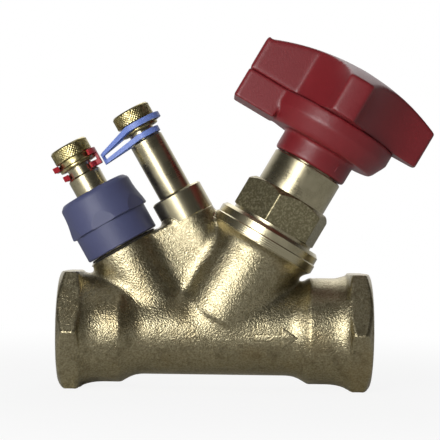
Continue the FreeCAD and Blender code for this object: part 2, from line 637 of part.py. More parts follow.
def build_wheel_cover():
    body = body_on("stem", "wheel_cover")
    disc = draw_circle(body, "coverDiscSketch", "0", "0", "wingReach", "XY_Plane", "seam")
    extrude(body, "coverDisc", disc, "domeTop - seam")
    centre = wing_scallop_centre()
    scallop = draw_circle(body, "scallopSketch", centre, centre, f"sqrt(2) * ({centre}) - waistRadius",
                          "XY_Plane", "domeTop")
    cut = extrude(body, "scallop", scallop, "domeTop - seam", "Pocket")
    doc.recompute()
    pattern = body.newObject("PartDesign::PolarPattern", "scallops")
    pattern.Originals = [cut]
    pattern.Axis = (origin_plane(body, "Z_Axis"), [""])
    pattern.Angle = 360
    pattern.Occurrences = 4
    body.Tip = pattern
    block = draw(body, "coverBlockSketch",
                 rectangle("-blockReach", "-blockStart", "-blockWidth / 2", "blockWidth / 2"), "XY_Plane", "seam")
    extrude(body, "coverBlock", block, "domeTop - seam")
    round_uprights(body, "wingRounds", "wingRound", "wingReach - 0.5", "wingReach + 0.5")
    round_uprights(body, "blockRounds", "blockRound", "blockReach", "blockReach + blockWidth")
    outer = "blockReach + 5"
    turn(body, "dome", [
        ("0", "domeTop", "domeRadius", -1),
        ("blockReach", "domeTop - domeRadius + sqrt(domeRadius ^ 2 - blockReach ^ 2)"),
        (outer, "wheelRim"), (outer, "domeTop + 1"), ("0", "domeTop + 1")], "Groove")
    edge = draw(body, "blockEdgeSketch", [
        ("-blockReach - blockRound", "wheelRim - blockEdge - blockRound"),
        ("-blockReach + 2 * blockEdge", "wheelRim + blockEdge"), ("-blockReach - blockRound", "wheelRim + blockEdge")])
    extrude(body, "blockEdge", edge, "blockWidth + blockRound", "Pocket", symmetric=True)
    turn(body, "coverHollow", [
        ("hubRadius", "seam"), ("wheelCavity", "seam"), ("wheelCavity", "wheelCeiling"),
        ("hubRadius", "wheelCeiling")], "Groove")
    window = draw(body, "windowSketch",
                  rectangle("-blockReach - wingReach", "-wheelCavity + 1.5", "-lensWidth / 2 - threadGap",
                            "lensWidth / 2 + threadGap"), "XY_Plane", "turnsTop + lensMargin")
    extrude(body, "window", window, "2 * ringHeight + runGap + 2 * lensMargin", "Pocket")
    hub = draw_circle(body, "hubSketch", "0", "0", "hubRadius", "XY_Plane", "hubFoot")
    extrude(body, "hub", hub, "wheelCeiling - hubFoot")
    turn(body, "hubBore", [
        ("0", "hubFoot"), ("driveRadius + threadGap", "hubFoot"), ("driveRadius + threadGap", "driveTop"),
        ("screwShank + threadGap", "driveTop"), ("screwShank + threadGap", "driveTop + 0.8"),
        ("screwHeadRadius + threadGap", "driveTop + 0.8"), ("screwHeadRadius + threadGap", "capDiscFoot"),
        ("capDiscRadius + threadGap", "capDiscFoot"), ("capDiscRadius + threadGap", "domeTop"),
        ("0", "domeTop")], "Groove")
    return body


def build_wheel_fittings():
    rim = "ringRadius - ringRim"
    turned("tenths_ring", "stem", [
        ("spigotRadius - sleeveWall", "spigotTop"), ("spigotRadius", "spigotTop"), ("spigotRadius", "ringFoot"),
        ("ringRadius", "ringFoot"), ("ringRadius", "tenthsTop"), (rim, "tenthsTop"),
        (rim, "ringFoot + ringWeb"), ("spigotRadius - sleeveWall", "ringFoot + ringWeb")])
    turned("turns_ring", "stem", [
        ("hubRadius + runGap", "turnsTop - ringWeb"), (rim, "turnsTop - ringWeb"), (rim, "turnsFoot"),
        ("ringRadius", "turnsFoot"), ("ringRadius", "turnsTop"), ("hubRadius + runGap", "turnsTop")])
    lens = body_on("stem", "display_lens")
    sketch = draw(lens, "lensSketch",
                  rectangle("-blockReach + 0.4", "-wheelCavity", "-lensWidth / 2", "lensWidth / 2"),
                  "XY_Plane", "ringFoot - lensMargin + threadGap")
    extrude(lens, "lensPad", sketch, "2 * (ringHeight + lensMargin - threadGap) + runGap")
    head_foot = "driveTop + 0.8"
    turned("handwheel_screw", "stem", [
        ("0", "driveTop - screwLength"), ("screwShank", "driveTop - screwLength"), ("screwShank", head_foot),
        ("screwHeadRadius", head_foot), ("screwHeadRadius", f"{head_foot} + screwHeadHeight"),
        ("0", f"{head_foot} + screwHeadHeight")])
    turned("top_cap", "stem", [
        ("0", "capDiscFoot"), ("capDiscRadius", "capDiscFoot"), ("capDiscRadius", "domeTop - 0.4"),
        ("capDiscRadius - 0.3", "domeTop - 0.1"), ("0", "domeTop")])


# Measuring nipples with their cores, gaskets and caps. Foot is where the nipple's shoulder sits.
def build_nipple(side, axis, foot, neck, tip):
    top = f"{tip} + tipHeight"
    root = f"{foot} - nippleRootLength"
    turned(f"{side}_nipple", axis, [
        ("nippleBore", root), ("nippleRootRadius", root), ("nippleRootRadius", foot), ("nippleRadius - 0.4", foot),
        ("nippleRadius", f"{foot} + 0.4"), ("nippleRadius", f"{neck} - 0.6"), ("nippleRadius - 0.6", neck),
        ("neckGroove", neck), ("neckGroove", tip), ("tipRadius", tip), ("tipRadius", top),
        ("coreRadius + threadGap", top), ("coreRadius + threadGap", f"{top} - coreHeight - 0.1"),
        ("nippleBore", f"{top} - coreHeight - 0.1")])
    bar(f"{side}_core", axis, "coreRadius", f"{top} - coreHeight", f"{top} - 0.3")
    gasket_foot = f"{top} + capSeatGap"
    ceiling = f"{gasket_foot} + capGasketHeight"
    bar(f"{side}_cap_gasket", axis, "tipRadius - 0.2", gasket_foot, ceiling)
    foot_level = f"{tip} + 0.1"
    groove_foot = f"{foot_level} + capFlangeHeight"
    head_foot = f"{groove_foot} + capGrooveHeight"
    crown = f"{head_foot} + capHeadHeight"
    turned(f"{side}_cap", axis, [
        ("tipRadius + runGap", foot_level), ("capFlangeRadius", foot_level), ("capFlangeRadius", groove_foot),
        ("capGrooveRadius", groove_foot), ("capGrooveRadius", head_foot), ("capHeadRadius", head_foot),
        ("capHeadRadius", f"{crown} - capEdge"), ("capHeadRadius - capEdge", crown), ("0", crown),
        ("0", ceiling), ("tipRadius + runGap", ceiling)])


def build_drain():
    root = "drainBossTop - adapterRootLength"
    socket = "nippleRootRadius + threadGap"
    turned("drain_adapter", "inlet", [
        ("drainBoreRadius", root), ("adapterRootRadius", root), ("adapterRootRadius", "drainBossTop"),
        ("adapterRadius", "drainBossTop"), ("adapterRadius", "adapterTop - 0.8"),
        ("adapterRadius - 0.8", "adapterTop"), (socket, "adapterTop"),
        (socket, "adapterTop - nippleRootLength - 0.5"), ("drainBoreRadius", "adapterTop - nippleRootLength - 0.5")])
    gasket_foot = "drainCapCeiling - drainGasketHeight"
    washer("drain_gasket", "inlet", "nippleRadius + runGap", "adapterRadius", gasket_foot, "drainCapCeiling")
    profile = turned("drainCapProfile", "inlet", [
        ("adapterRadius + runGap", "drainCapFoot"), ("drainCapBase", "drainCapFoot"),
        ("drainCapBase", "drainCapFoot + drainCapBaseHeight"), ("drainCapShoulder", "drainCapFoot + drainCapBaseHeight"),
        ("drainCapTop", "drainCapCrown - drainCapEdge"), ("drainCapTop - drainCapEdge", "drainCapCrown"),
        ("nippleRadius + runGap", "drainCapCrown"), ("nippleRadius + runGap", "drainCapCeiling"),
        ("adapterRadius + runGap", "drainCapCeiling")])
    flats = hex_bar("drainCapFlats", "inlet", "drainCapAcross", "drainCapFoot", "drainCapCrown", "drainCapTurn")
    join("MultiCommon", "drain_cap", [profile, flats])


# Straps. Each has a ring in the nipple's neck and a wider ring round the cap's groove.
def polar(radius, angle, across="0"):
    return f"{across} + ({radius}) * cos({angle})", f"({radius}) * sin({angle})"


# Closed loop round the nipple, drawn out to a nose.
def teardrop(radius, nose):
    reach = "(strapReach - noseRadius)"
    lean = f"90 + asin(({radius} - ({nose})) / {reach}) / 1deg"
    near_x, near_y = polar(radius, lean)
    far_x, far_y = polar(nose, lean, f"-{reach}")
    return [(near_x, near_y), (far_x, far_y, nose, 1), (far_x, f"-({far_y})"),
            (near_x, f"-({near_y})", radius, 1), (radius, "0", radius, 1)]


def build_blue_strap():
    body = body_on("outlet", "blue_strap")
    low = "outletNeck + runGap"
    for name, bore, foot in (("neckLoop", "neckRingRadius", low), ("capLoop", "capRingRadius", f"{low} + strapPitch")):
        sketch = draw(body, name + "Sketch", teardrop(f"{bore} + strapThickness", "noseRadius"), "XY_Plane", foot)
        draw(body, name, teardrop(bore, "noseRadius - strapThickness"), sketch=sketch)
        extrude(body, name, sketch, "strapWidth")
        if name == "neckLoop":
            bridge_blue_rings(body, low)


def bridge_blue_rings(body, low):
    centre = "noseRadius - strapReach"
    inner = "noseRadius - strapThickness"
    outline = [(*polar("noseRadius", "180 - bridgeAngle", centre), "noseRadius", 1),
               polar("noseRadius", "180 + bridgeAngle", centre),
               (*polar(inner, "180 + bridgeAngle", centre), inner, -1), polar(inner, "180 - bridgeAngle", centre)]
    sketch = draw(body, "blueBridgeSketch", outline, "XY_Plane", low)
    extrude(body, "blueBridge", sketch, "strapPitch + strapWidth")


# Open ring with a flared end, its opening towards the front.
def clip(bore):
    outer = f"({bore} + strapThickness)"
    return [(*polar(outer, "clipStart"), outer, 1), ("0", outer, outer, 1), polar(outer, "clipEnd - 14"),
            polar(f"{outer} + clipEarHeight", "clipEnd"), (*polar(bore, "clipEnd"), bore, -1), ("0", bore, bore, -1),
            polar(bore, "clipStart")]


def build_red_strap():
    body = body_on("inlet", "red_strap")
    low = "inletNeck + runGap"
    sketch = draw(body, "neckClipSketch", clip("neckRingRadius"), "XY_Plane", low)
    extrude(body, "neckClip", sketch, "strapWidth")
    outer = "clipRingRadius + strapThickness"
    outline = [(*polar(outer, "-clipBridgeAngle"), outer, 1), polar(outer, "clipBridgeAngle"),
               ("neckRingRadius + strapThickness / 2", f"({outer}) * sin(clipBridgeAngle)"),
               ("neckRingRadius + strapThickness / 2", f"-({outer}) * sin(clipBridgeAngle)")]
    sketch = draw(body, "redArmSketch", outline, "XY_Plane", low)
    extrude(body, "redArm", sketch, "strapWidth")
    outline = [(*polar(outer, "-clipBridgeAngle"), outer, 1),
               polar(outer, "clipBridgeAngle"),
               (*polar("clipRingRadius", "clipBridgeAngle"), "clipRingRadius", -1),
               polar("clipRingRadius", "-clipBridgeAngle")]
    sketch = draw(body, "redBridgeSketch", outline, "XY_Plane", low)
    extrude(body, "redBridge", sketch, "strapPitch + strapWidth")
    sketch = draw(body, "capClipSketch", clip("clipRingRadius"), "XY_Plane", f"{low} + strapPitch")
    extrude(body, "capClip", sketch, "strapWidth")


build_body()
build_bonnet()
build_spindle()
build_cone()
build_wheel_base()
build_wheel_cover()
build_wheel_fittings()
build_nipple("outlet", "outlet", "testBossTop", "outletNeck", "outletTip")
build_nipple("inlet", "inlet", "adapterTop", "inletNeck", "inletTip")
build_drain()
build_blue_strap()
build_red_strap()

pieces = [
    "valve_body", "bonnet", "bonnet_gasket", "spindle", "spindle_o_rings", "spindle_retainer", "limit_screw",
    "cone", "cone_seal", "throttle_plug", "wheel_base", "wheel_cover", "tenths_ring", "turns_ring",
    "display_lens", "handwheel_screw", "top_cap", "outlet_nipple", "outlet_core", "outlet_cap_gasket",
    "outlet_cap", "inlet_nipple", "inlet_core", "inlet_cap_gasket", "inlet_cap", "drain_adapter",
    "drain_gasket", "drain_cap", "blue_strap", "red_strap",
]

doc.recompute()
for thing in doc.Objects:
    if "Invalid" in thing.State or "Error" in thing.State:
        raise RuntimeError(f"{thing.Name} failed: {thing.State}")
os.makedirs("parts", exist_ok=True)
for name in pieces:
    shape = doc.getObject(name).Shape
    if shape.isNull() or not shape.isValid():
        raise RuntimeError(f"{name} has no valid shape")
    shape.exportStep(f"parts/{name}.step")
    print(name, round(shape.Volume, 1), len(shape.Solids))
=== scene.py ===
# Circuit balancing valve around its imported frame: camera, studio, finishes and the detailed pieces.
import math

import bmesh
import bpy
from mathutils import Matrix, Vector


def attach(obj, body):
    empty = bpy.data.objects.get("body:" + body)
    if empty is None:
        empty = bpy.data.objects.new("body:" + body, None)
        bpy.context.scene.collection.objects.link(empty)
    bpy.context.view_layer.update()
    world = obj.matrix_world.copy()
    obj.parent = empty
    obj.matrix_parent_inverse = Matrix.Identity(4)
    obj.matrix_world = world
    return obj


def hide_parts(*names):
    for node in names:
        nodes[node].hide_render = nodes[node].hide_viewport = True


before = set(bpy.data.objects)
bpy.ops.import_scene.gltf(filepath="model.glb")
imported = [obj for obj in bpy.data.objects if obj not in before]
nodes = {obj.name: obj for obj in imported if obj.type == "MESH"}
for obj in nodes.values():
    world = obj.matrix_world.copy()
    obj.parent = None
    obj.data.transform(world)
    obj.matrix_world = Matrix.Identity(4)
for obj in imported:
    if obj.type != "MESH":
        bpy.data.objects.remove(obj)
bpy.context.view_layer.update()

mm = 0.001
weld = 0.002 * mm
scene = bpy.context.scene
pipe = {"length": 110, "middle": 55}  # mm, from the inlet's face along X
# Leaning axes: where each crosses the pipe's axis, in millimetres along it, and its lean in degrees.
crossings = {"stem": (53.75, 30), "outlet": (68.35, -30), "inlet": (39.15, -30)}


# From an axis's own frame, with its crossing at the origin and Z along it, to the part's frame.
def axisMatrix(axis):
    crossing, lean = crossings[axis]
    return Matrix.Translation((crossing * mm, 0, 0)) @ Matrix.Rotation(math.radians(lean), 4, "Y")


# Distance from an axis and level along it, in millimetres.
def onAxis(point, axis):
    local = axisMatrix(axis).inverted() @ point
    return math.hypot(local.x, local.y) / mm, local.z / mm


# Camera fitted to the photograph: place in millimetres, angles in degrees.
camera = {"place": (55.35, -564.9, 38.1), "focalPixels": 1586.6, "imagePixels": 440, "roll": 0.79,
          "yaw": -0.097, "pitch": 0.103, "sensor": 36, "nearest": 0.01, "farthest": 50}


def setCamera():
    data = bpy.data.cameras.new("photoCamera")
    data.sensor_width = camera["sensor"]
    data.lens = camera["focalPixels"] / camera["imagePixels"] * data.sensor_width
    data.clip_start = camera["nearest"]
    data.clip_end = camera["farthest"]
    thing = bpy.data.objects.new("photoCamera", data)
    scene.collection.objects.link(thing)
    yaw, pitch, roll = [math.radians(camera[key]) for key in ("yaw", "pitch", "roll")]
    turn = (Matrix.Rotation(yaw, 4, "Z") @ Matrix.Rotation(math.pi / 2 + pitch, 4, "X")
            @ Matrix.Rotation(roll, 4, "Z"))
    thing.matrix_world = Matrix.Translation(Vector(camera["place"]) * mm) @ turn
    scene.camera = thing


# Linear colour of a tone that is given as it looks on the screen.
def tone(red, green, blue):
    def linear(value):
        value /= 255
        return value / 12.92 if value <= 0.04045 else ((value + 0.055) / 1.055) ** 2.4
    return (linear(red), linear(green), linear(blue), 1)


# Wraps a socket, so that shader maths is written as plain expressions.
class Wire:
    def __init__(self, shading, socket):
        self.shading = shading
        self.socket = socket

    def maths(self, operation, first, second):
        return self.shading.node("Math", {"operation": operation}, {0: first, 1: second})

    def __add__(self, other):
        return self.maths("ADD", self, other)

    __radd__ = __add__

    def __sub__(self, other):
        return self.maths("SUBTRACT", self, other)

    def __rsub__(self, other):
        return self.maths("SUBTRACT", other, self)

    def __mul__(self, other):
        return self.maths("MULTIPLY", self, other)

    __rmul__ = __mul__

    def __pow__(self, other):
        return self.maths("POWER", self, other)

    def above(self, level, width):
        return self.shading.node("MapRange", {"interpolation_type": "SMOOTHSTEP"},
                                 {0: self, 1: level - width / 2, 2: level + width / 2, 3: 0.0, 4: 1.0})

    def below(self, level, width):
        return 1 - self.above(level, width)

    def size(self):
        return self.maths("ABSOLUTE", self, 0.0)

    def larger(self, other):
        return self.maths("MAXIMUM", self, other)

    def wave(self):
        return self.maths("SINE", self, 0.0)


# Makes and links the nodes of one tree, a material's or the world's.
class Shading:
    def __init__(self, tree):
        self.tree = tree

    def feed(self, socket, value):
        if isinstance(value, Wire):
            self.tree.links.new(value.socket, socket)
        else:
            socket.default_value = value

    def node(self, kind, settings=None, inputs=None, output=0):
        made = self.tree.nodes.new("ShaderNode" + kind)
        for key, value in (settings or {}).items():
            setattr(made, key, value)
        for key, value in (inputs or {}).items():
            self.feed(made.inputs[key], value)
        return Wire(self, made.outputs[output])

    def find(self, kind):
        return next(node for node in self.tree.nodes if node.type == kind)

    def place(self):
        return self.node("TexCoord", output="Object")

    def parts(self, vector):
        split = self.node("SeparateXYZ", inputs={0: vector})
        outputs = split.socket.node.outputs
        return [Wire(self, outputs[axis]) for axis in range(3)]

    def mapped(self, vector, scale):
        return self.node("Mapping", inputs={0: vector, 3: scale})

    def noise(self, vector, scale, detail=2.0, roughness=0.5):
        return self.node("TexNoise", inputs={"Vector": vector, "Scale": scale, "Detail": detail,
                                             "Roughness": roughness})

    def cells(self, vector, scale, feature="F1"):
        return self.node("TexVoronoi", {"feature": feature}, {"Vector": vector, "Scale": scale})

    def mix(self, factor, first, second):
        return self.node("Mix", {"data_type": "RGBA"}, {0: factor, 6: first, 7: second}, output=2)

    def millimetres(self):
        return self.parts(self.mapped(self.place(), (1 / mm, 1 / mm, 1 / mm)))

    # Distance from one of the leaning axes, and level along it, both in millimetres.
    def onAxis(self, axis):
        crossing, lean = crossings[axis]
        x, y, z = self.millimetres()
        x = x - crossing
        sine, cosine = math.sin(math.radians(lean)), math.cos(math.radians(lean))
        level = x * sine + z * cosine
        across = x * cosine - z * sine
        return (across * across + y * y) ** 0.5, level


# A material and its Principled shader.
class Finish(Shading):
    def __init__(self, name, **sockets):
        self.material = bpy.data.materials.new(name)
        self.material.use_nodes = True
        super().__init__(self.material.node_tree)
        self.shader = self.find("BSDF_PRINCIPLED")
        self.set(**sockets)

    def set(self, **sockets):
        names = {"colour": "Base Color", "roughness": "Roughness", "metallic": "Metallic", "ior": "IOR",
                 "specular": "Specular IOR Level", "transmission": "Transmission Weight",
                 "normal": "Normal"}
        for key, value in sockets.items():
            self.feed(self.shader.inputs[names[key]], value)

    # Mask of what lies within a radius and above a level, both in one pair of limits.
    def inside(self, radius, level, limits, edge):
        return level.above(limits[1], turnedFaces["edge"]) * radius.below(limits[0], edge)

    def bump(self, height, distance, strength):
        bumped = self.node("Bump", inputs={"Height": height, "Distance": distance, "Strength": strength})
        self.set(normal=bumped)


castLook = {"shadow": (86, 76, 50), "base": (142, 132, 103), "light": (190, 180, 148),
            "machined": (192, 183, 152), "stain": (150, 126, 78)}
# Scales of the grain, and the depth of its relief in metres.
castGrain = {"broad": 60.0, "lumps": 260.0, "fine": 1500.0, "sand": 1900.0, "veins": 150.0,
             "veinStretch": (1, 1, 1.6), "depth": 0.0004, "strength": 0.6, "roughness": 0.22,
             "turnedRoughness": 0.27, "rings": 9, "ringDepth": 0.03}
# Turned faces in millimetres: how far from the pipe's middle, and radius and level on the leaning axes.
turnedFaces = {"end": 54.75, "bore": 17.2, "boreStart": 37, "collar": (21.0, 35.0),
               "drainTop": (14.0, 33.2), "testTop": (9.52, 45.9), "edge": 0.3}


# Sand-cast skin, with the turned faces of the ends, the collar and the three bosses left brighter.
def castBrass():
    look = {key: tone(*value) for key, value in castLook.items()}
    finish = Finish("castBrass", metallic=1.0)
    grain, edge = castGrain, turnedFaces["edge"]
    place = finish.place()
    x, y, z = finish.millimetres()
    fromMiddle = (x - pipe["middle"]).size()
    radius = (y * y + z * z) ** 0.5
    stemRadius, stemLevel = finish.onAxis("stem")
    drainRadius, drainLevel = finish.onAxis("inlet")
    testRadius, testLevel = finish.onAxis("outlet")
    ends = fromMiddle.above(turnedFaces["end"], edge)
    bore = radius.below(turnedFaces["bore"], edge) * fromMiddle.above(turnedFaces["boreStart"], edge)
    collar = finish.inside(stemRadius, stemLevel, turnedFaces["collar"], 0.4)
    drainTop = finish.inside(drainRadius, drainLevel, turnedFaces["drainTop"], 0.4)
    testTop = finish.inside(testRadius, testLevel, turnedFaces["testTop"], 0.1)
    machined = ends.larger(bore).larger(collar).larger(drainTop).larger(testTop)
    cast = 1 - machined
    broad = finish.noise(place, grain["broad"], 3.0)
    lumps = finish.noise(place, grain["lumps"], 2.0, 0.5)
    fine = finish.noise(place, grain["fine"], 3.0, 0.6)
    sand = finish.cells(place, grain["sand"])
    stretched = finish.mapped(place, grain["veinStretch"])
    veins = finish.cells(stretched, grain["veins"], "DISTANCE_TO_EDGE").below(0.035, 0.06)
    veins = veins * broad.above(0.52, 0.12)
    skin = finish.mix(fine.above(0.5, 0.5), look["base"], look["light"])
    skin = finish.mix(lumps.below(0.4, 0.2) * 0.3, skin, look["shadow"])
    skin = finish.mix(broad.above(0.6, 0.2) * 0.25, skin, look["stain"])
    finish.set(colour=finish.mix(machined, skin, look["machined"]))
    finish.set(roughness=grain["turnedRoughness"] * machined + (grain["roughness"] + 0.2 * fine) * cast)
    rings = (stemLevel * grain["rings"]).wave() * collar * grain["ringDepth"]
    finish.bump((lumps * 0.55 + fine * 0.6 + sand * 0.3 + veins * 0.1) * cast + rings, grain["depth"],
                grain["strength"])
    return finish.material


turnedLook = {"dark": (170, 161, 132), "light": (196, 187, 156), "hexDark": (140, 132, 102),
              "hexLight": (184, 176, 142)}
turnedGrain = {"rings": 3, "ringNoise": 2.5, "smudge": 160.0, "speckle": 1300.0, "depth": 0.00002,
               "strength": 0.5, "barRelief": 4, "barRoughness": 0.34}


# Turned from bar: fine rings round its axis. The bonnet's hexagon keeps the bar's drawn, speckled skin.
def turnedBrass(name, axis, rough, hexagon=None):
    look = {key: tone(*value) for key, value in turnedLook.items()}
    finish = Finish(name, metallic=1.0)
    place = finish.place()
    radius, level = finish.onAxis(axis)
    grain = turnedGrain
    stretch = grain["rings"]
    profile = finish.node("CombineXYZ", inputs={0: radius * stretch, 1: level * stretch, 2: 0.0})
    rings = finish.noise(profile, grain["ringNoise"], 3.0, 0.7)
    smudge = finish.noise(place, grain["smudge"], 3.0)
    speckle = finish.noise(place, grain["speckle"], 3.0, 0.65)
    colour = finish.mix(smudge.above(0.5, 0.5), look["dark"], look["light"])
    roughness = rough + 0.1 * smudge + 0.06 * rings
    height = rings
    if hexagon:
        bar = level.above(hexagon[0], 0.2) * level.below(hexagon[1], 0.2)
        drawn = finish.mix(speckle.above(0.55, 0.2), look["hexDark"], look["hexLight"])
        colour = finish.mix(bar, colour, drawn)
        roughness = roughness * (1 - bar) + (grain["barRoughness"] + 0.2 * speckle) * bar
        height = rings * (1 - bar) + speckle * bar * grain["barRelief"]
    finish.set(colour=colour, roughness=roughness)
    finish.bump(height, grain["depth"], grain["strength"])
    return finish.material


knurlLook = {"dark": (140, 128, 84), "light": (200, 188, 140), "scale": 700.0, "rough": 0.22,
             "depth": 0.00004}


def knurledBrass():
    look = knurlLook
    finish = Finish("knurledBrass", metallic=1.0)
    glint = finish.noise(finish.place(), look["scale"], 3.0, 0.6)
    finish.set(colour=finish.mix(glint.above(0.5, 0.3), tone(*look["dark"]), tone(*look["light"])))
    finish.set(roughness=look["rough"] + 0.16 * glint)
    finish.bump(glint, look["depth"], 0.5)
    return finish.material


steelLook = {"dark": (150, 150, 150), "light": (188, 188, 186), "scale": 300.0, "rough": 0.24,
             "depth": 0.00002}


def steel():
    look = steelLook
    finish = Finish("steel", metallic=1.0)
    haze = finish.noise(finish.place(), look["scale"], 3.0)
    finish.set(colour=finish.mix(haze, tone(*look["dark"]), tone(*look["light"])))
    finish.set(roughness=look["rough"] + 0.2 * haze)
    finish.bump(haze, look["depth"], 0.4)
    return finish.material


# Moulded plastics and rubber by the record's slots, with the scale and depth of their fine grain.
mouldedLooks = {
    "red_plastic": {"dark": (106, 22, 28), "light": (130, 34, 40), "rough": 0.4, "grain": 1500.0,
                    "depth": 0.00008},
    "white_plastic": {"dark": (226, 226, 222), "light": (240, 240, 236), "rough": 0.42, "grain": 1200.0,
                      "depth": 0.00003},
    "dark_blue_plastic": {"dark": (62, 66, 98), "light": (78, 82, 116), "rough": 0.5, "grain": 1400.0,
                          "depth": 0.00006},
    "light_blue_plastic": {"dark": (96, 118, 190), "light": (124, 146, 212), "rough": 0.4, "grain": 1600.0,
                           "depth": 0.00003},
    "strap_red_plastic": {"dark": (150, 24, 36), "light": (176, 38, 50), "rough": 0.4, "grain": 1600.0,
                          "depth": 0.00003},
    "black_rubber": {"dark": (24, 24, 25), "light": (38, 38, 39), "rough": 0.6, "grain": 900.0,
                     "depth": 0.00004},
    "white_seal": {"dark": (214, 214, 206), "light": (230, 230, 224), "rough": 0.5, "grain": 900.0,
                   "depth": 0.00003},
}
cloudScale = 45.0


def moulded(slot):
    look = mouldedLooks[slot]
    finish = Finish(slot.replace("_", "-"))
    place = finish.place()
    cloud = finish.noise(place, cloudScale, 3.0)
    grain = finish.noise(place, look["grain"], 3.0, 0.6)
    finish.set(colour=finish.mix(cloud * 0.6 + grain * 0.4, tone(*look["dark"]), tone(*look["light"])))
    finish.set(roughness=look["rough"] - 0.08 + 0.16 * grain)
    finish.bump(grain, look["depth"], 0.6)
    return finish.material


clearLook = {"dark": (236, 240, 242), "light": (250, 252, 252), "scale": 500.0, "rough": 0.03, "ior": 1.49}


def clearPlastic():
    look = clearLook
    finish = Finish("clearPlastic", ior=look["ior"], transmission=1.0)
    scuff = finish.noise(finish.place(), look["scale"], 3.0)
    finish.set(colour=finish.mix(scuff, tone(*look["dark"]), tone(*look["light"])))
    finish.set(roughness=look["rough"] + 0.08 * scuff)
    return finish.material


finishes = {
    "cast_brass": castBrass(),
    "turned_brass": turnedBrass("turnedBrass", "outlet", 0.2),
    "stem_brass": turnedBrass("stemBrass", "stem", 0.16),
    "steel": steel(),
    "clear_plastic": clearPlastic(),
    **{slot: moulded(slot) for slot in mouldedLooks},
}
bonnetHexagon = (43.1, 55.3)  # levels of its foot and top, in millimetres
bonnetBrass = turnedBrass("bonnetBrass", "stem", 0.2, bonnetHexagon)
knurl = knurledBrass()
print("finishes made:", len(finishes) + 2)
# The frame's own pieces take the same finishes.
for thing in nodes.values():
    for slot in thing.material_slots:
        key = slot.material.name.split(".")[0] if slot.material else None
        if key in finishes:
            slot.material = finishes[key]


# Links a finished mesh, gives it its finish and says what it rides on and replaces.
def finished(name, mesh, body, slot, replaced=(), smooth=50, material=None):
    thing = bpy.data.objects.new(name, mesh)
    scene.collection.objects.link(thing)
    mesh.materials.clear()
    mesh.materials.append(material or finishes[slot])
    mesh.shade_smooth()
    mesh.set_sharp_from_angle(angle=math.radians(smooth))
    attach(thing, body)
    if replaced:
        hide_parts(*replaced)
    print(name, "has", sum(len(face.vertices) - 2 for face in mesh.polygons), "triangles")
    return thing


def meshFrom(name, shape, axis=None):
    if axis is not None:
        bmesh.ops.transform(shape, matrix=axis, verts=shape.verts)
    mesh = bpy.data.meshes.new(name)
    shape.to_mesh(mesh)
    shape.free()
    return mesh


def mergedCopy(node, axis=None):
    shape = bmesh.new()
    shape.from_mesh(nodes[node].data)
    bmesh.ops.remove_doubles(shape, verts=shape.verts, dist=weld)
    if axis is not None:
        bmesh.ops.transform(shape, matrix=axis.inverted(), verts=shape.verts)
    return shape


# Spins a closed outline of (radius, level) in millimetres round the local Z axis.
def lathe(outline, steps):
    shape = bmesh.new()
    corners = [shape.verts.new((radius * mm, 0, level * mm)) for radius, level in outline]
    edges = [shape.edges.new(pair) for pair in zip(corners, corners[1:] + corners[:1])]
    bmesh.ops.spin(shape, geom=corners + edges, cent=(0, 0, 0), axis=(0, 0, 1), dvec=(0, 0, 0),
                   angle=math.tau, steps=steps, use_merge=True, use_duplicate=False)
    bmesh.ops.remove_doubles(shape, verts=shape.verts, dist=weld)
    bmesh.ops.dissolve_degenerate(shape, edges=shape.edges, dist=weld / 2)
    bmesh.ops.recalc_face_normals(shape, faces=shape.faces)
    return shape


def remeshed(name, mesh, voxel):
    thing = bpy.data.objects.new(name, mesh)
    scene.collection.objects.link(thing)
    modifier = thing.modifiers.new("voxels", "REMESH")
    modifier.mode = "VOXEL"
    modifier.voxel_size = voxel * mm
    result = bpy.data.meshes.new_from_object(thing.evaluated_get(bpy.context.evaluated_depsgraph_get()))
    bpy.data.objects.remove(thing)
    bpy.data.meshes.remove(mesh)
    shape = bmesh.new()
    shape.from_mesh(result)
    bpy.data.meshes.remove(result)
    return shape


def soften(shape, points, steps):
    for step in range(steps):
        bmesh.ops.smooth_vert(shape, verts=points, factor=0.5, use_axis_x=True, use_axis_y=True,
                              use_axis_z=True)


def everythingIn(shape):
    return list(shape.verts) + list(shape.edges) + list(shape.faces)


castSettings = {"voxel": 0.62, "crispSteps": 1, "softSteps": 60, "mostOff": 0.1}
# Where the skin isn't rough-cast, in millimetres: within a radius and above a level of each leaning axis.
crispParts = {"stem": [(13.7, 0), (15.8, 26), (math.inf, 34.6)], "outlet": [(5.7, 10), (math.inf, 54.7)],
              "inlet": [(10.4, 10), (14.5, 33.4)]}
crispPipe = {"waterway": 14.9, "end": 54.4, "thread": 17.3, "threadStart": 37}


# Outer cast skin, away from the bores and the turned faces.
def isCast(point):
    fromMiddle = abs(point.x / mm - pipe["middle"])
    radius = math.hypot(point.y, point.z) / mm
    if radius < crispPipe["waterway"] or fromMiddle > crispPipe["end"]:
        return False
    if fromMiddle > crispPipe["threadStart"] and radius < crispPipe["thread"]:
        return False
    for axis, limits in crispParts.items():
        across, level = onAxis(point, axis)
        if any(across < widest and level > lowest for widest, lowest in limits):
            return False
    return True


def castBody():
    shape = remeshed("castBody", meshFrom("castBody", mergedCopy("valve_body")), castSettings["voxel"])
    print("cast body remeshed:", len(shape.verts), "points")
    soften(shape, shape.verts, castSettings["crispSteps"])
    shape.normal_update()
    soft = [point for point in shape.verts if isCast(point.co)]
    before = [(point.co.copy(), point.normal.copy()) for point in soft]
    soften(shape, soft, castSettings["softSteps"])
    most = castSettings["mostOff"] * mm
    for point, (place, outward) in zip(soft, before):
        inward = -(point.co - place).dot(outward)
        if inward > most:
            point.co += outward * (inward - most)
    soften(shape, soft, castSettings["crispSteps"])
    bmesh.ops.recalc_face_normals(shape, faces=shape.faces)
    finished("cast_body", meshFrom("castBody", shape), "valve", "cast_brass", ["valve_body"], 60)


